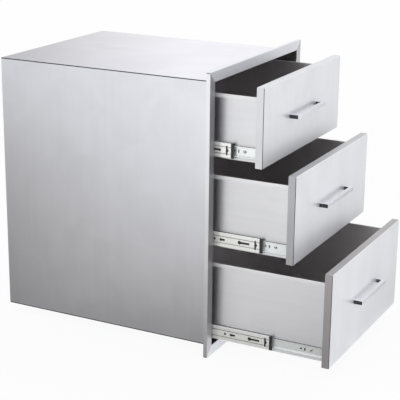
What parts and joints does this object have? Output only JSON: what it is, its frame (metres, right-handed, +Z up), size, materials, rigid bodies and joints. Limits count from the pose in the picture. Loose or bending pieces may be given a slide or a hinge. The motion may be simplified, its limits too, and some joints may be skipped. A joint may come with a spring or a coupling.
{
  "type": "outdoor kitchen drawer unit",
  "caption": "Stainless drop-in drawer cabinet for an outdoor kitchen island, with a mitred trim frame and stacked drawers on telescopic ball-bearing slides.",
  "frame": {"origin": "middle of the foot of the trim frame, in the plane of its return lip, where it bears on the face of the island", "axes": "+X to the right seen from the front, +Y to the rear, into the island, +Z up"},
  "size_m": [0.45, 0.79, 0.6],
  "materials": {
    "cabinet_steel": "brushed upright, satin",
    "trim_steel": "brushed along each member, satin",
    "drawer_front_steel": "brushed upright, satin",
    "drawer_box_steel": "mill finish, satin",
    "handle_steel": "fine brushed, nearly polished",
    "slide_steel": "bright zinc plated",
    "cage_steel": "plain bright sheet and polished balls",
    "fastener_steel": "bright zinc plated",
    "stop_plastic": "moulded black"
  },
  "bodies": {
    "cabinet": {"trim_top_rail": "trim_steel", "trim_bottom_rail": "trim_steel", "trim_left_stile": "trim_steel", "trim_right_stile": "trim_steel", "cabinet_left_side": "cabinet_steel", "cabinet_right_side": "cabinet_steel", "cabinet_top": "cabinet_steel", "cabinet_floor": "cabinet_steel", "cabinet_back": "cabinet_steel", "top_slide_left_cabinet_member": "slide_steel", "top_slide_right_cabinet_member": "slide_steel", "centre_slide_left_cabinet_member": "slide_steel", "centre_slide_right_cabinet_member": "slide_steel", "bottom_slide_left_cabinet_member": "slide_steel", "bottom_slide_right_cabinet_member": "slide_steel"},
    "top_drawer": {"top_drawer_front": "drawer_front_steel", "top_drawer_inner_front": "drawer_box_steel", "top_drawer_box": "drawer_box_steel", "top_drawer_box_back": "drawer_box_steel", "top_drawer_handle": "handle_steel", "top_drawer_handle_screws": "fastener_steel", "top_slide_left_drawer_member": "slide_steel", "top_slide_right_drawer_member": "slide_steel", "top_slide_rivets": "fastener_steel"},
    "top_middle_members": {"top_slide_left_middle_member": "slide_steel", "top_slide_right_middle_member": "slide_steel", "top_slide_front_stops": "stop_plastic"},
    "top_outer_ball_cages": {"top_slide_outer_ball_cages": "cage_steel"},
    "top_inner_ball_cages": {"top_slide_inner_ball_cages": "cage_steel"},
    "centre_drawer": {"centre_drawer_front": "drawer_front_steel", "centre_drawer_inner_front": "drawer_box_steel", "centre_drawer_box": "drawer_box_steel", "centre_drawer_box_back": "drawer_box_steel", "centre_drawer_handle": "handle_steel", "centre_drawer_handle_screws": "fastener_steel", "centre_slide_left_drawer_member": "slide_steel", "centre_slide_right_drawer_member": "slide_steel", "centre_slide_rivets": "fastener_steel"},
    "centre_middle_members": {"centre_slide_left_middle_member": "slide_steel", "centre_slide_right_middle_member": "slide_steel", "centre_slide_front_stops": "stop_plastic"},
    "centre_outer_ball_cages": {"centre_slide_outer_ball_cages": "cage_steel"},
    "centre_inner_ball_cages": {"centre_slide_inner_ball_cages": "cage_steel"},
    "bottom_drawer": {"bottom_drawer_front": "drawer_front_steel", "bottom_drawer_inner_front": "drawer_box_steel", "bottom_drawer_box": "drawer_box_steel", "bottom_drawer_box_back": "drawer_box_steel", "bottom_drawer_handle": "handle_steel", "bottom_drawer_handle_screws": "fastener_steel", "bottom_slide_left_drawer_member": "slide_steel", "bottom_slide_right_drawer_member": "slide_steel", "bottom_slide_rivets": "fastener_steel"},
    "bottom_middle_members": {"bottom_slide_left_middle_member": "slide_steel", "bottom_slide_right_middle_member": "slide_steel", "bottom_slide_front_stops": "stop_plastic"},
    "bottom_outer_ball_cages": {"bottom_slide_outer_ball_cages": "cage_steel"},
    "bottom_inner_ball_cages": {"bottom_slide_inner_ball_cages": "cage_steel"}
  },
  "joints": [
    {"name": "top_drawer_slide", "type": "slide", "parent": "cabinet", "child": "top_drawer", "axis": [0, -1, 0], "range_m": [-0.105, 0.335]},
    {"name": "top_middle_members_slide", "type": "slide", "parent": "cabinet", "child": "top_middle_members", "axis": [0, -1, 0], "range_m": [-0.0588, 0.1876]},
    {"name": "top_outer_ball_cages_slide", "type": "slide", "parent": "cabinet", "child": "top_outer_ball_cages", "axis": [0, -1, 0], "range_m": [-0.0294, 0.0938]},
    {"name": "top_inner_ball_cages_slide", "type": "slide", "parent": "cabinet", "child": "top_inner_ball_cages", "axis": [0, -1, 0], "range_m": [-0.0819, 0.2613]},
    {"name": "centre_drawer_slide", "type": "slide", "parent": "cabinet", "child": "centre_drawer", "axis": [0, -1, 0], "range_m": [-0.177, 0.263]},
    {"name": "centre_middle_members_slide", "type": "slide", "parent": "cabinet", "child": "centre_middle_members", "axis": [0, -1, 0], "range_m": [-0.12567, 0.18673]},
    {"name": "centre_outer_ball_cages_slide", "type": "slide", "parent": "cabinet", "child": "centre_outer_ball_cages", "axis": [0, -1, 0], "range_m": [-0.06284, 0.09337]},
    {"name": "centre_inner_ball_cages_slide", "type": "slide", "parent": "cabinet", "child": "centre_inner_ball_cages", "axis": [0, -1, 0], "range_m": [-0.15134, 0.22487]},
    {"name": "bottom_drawer_slide", "type": "slide", "parent": "cabinet", "child": "bottom_drawer", "axis": [0, -1, 0], "range_m": [-0.261, 0.179]},
    {"name": "bottom_middle_members_slide", "type": "slide", "parent": "cabinet", "child": "bottom_middle_members", "axis": [0, -1, 0], "range_m": [-0.15269, 0.10472]},
    {"name": "bottom_outer_ball_cages_slide", "type": "slide", "parent": "cabinet", "child": "bottom_outer_ball_cages", "axis": [0, -1, 0], "range_m": [-0.07634, 0.05236]},
    {"name": "bottom_inner_ball_cages_slide", "type": "slide", "parent": "cabinet", "child": "bottom_inner_ball_cages", "axis": [0, -1, 0], "range_m": [-0.20684, 0.14186]}
  ],
  "couplings": [
    {"joint": "top_middle_members_slide", "follows": "top_drawer_slide", "ratio": 0.56},
    {"joint": "top_outer_ball_cages_slide", "follows": "top_drawer_slide", "ratio": 0.28},
    {"joint": "top_inner_ball_cages_slide", "follows": "top_drawer_slide", "ratio": 0.78},
    {"joint": "centre_middle_members_slide", "follows": "centre_drawer_slide", "ratio": 0.71},
    {"joint": "centre_outer_ball_cages_slide", "follows": "centre_drawer_slide", "ratio": 0.355},
    {"joint": "centre_inner_ball_cages_slide", "follows": "centre_drawer_slide", "ratio": 0.855},
    {"joint": "bottom_middle_members_slide", "follows": "bottom_drawer_slide", "ratio": 0.585},
    {"joint": "bottom_outer_ball_cages_slide", "follows": "bottom_drawer_slide", "ratio": 0.2925},
    {"joint": "bottom_inner_ball_cages_slide", "follows": "bottom_drawer_slide", "ratio": 0.7925}
  ]
}
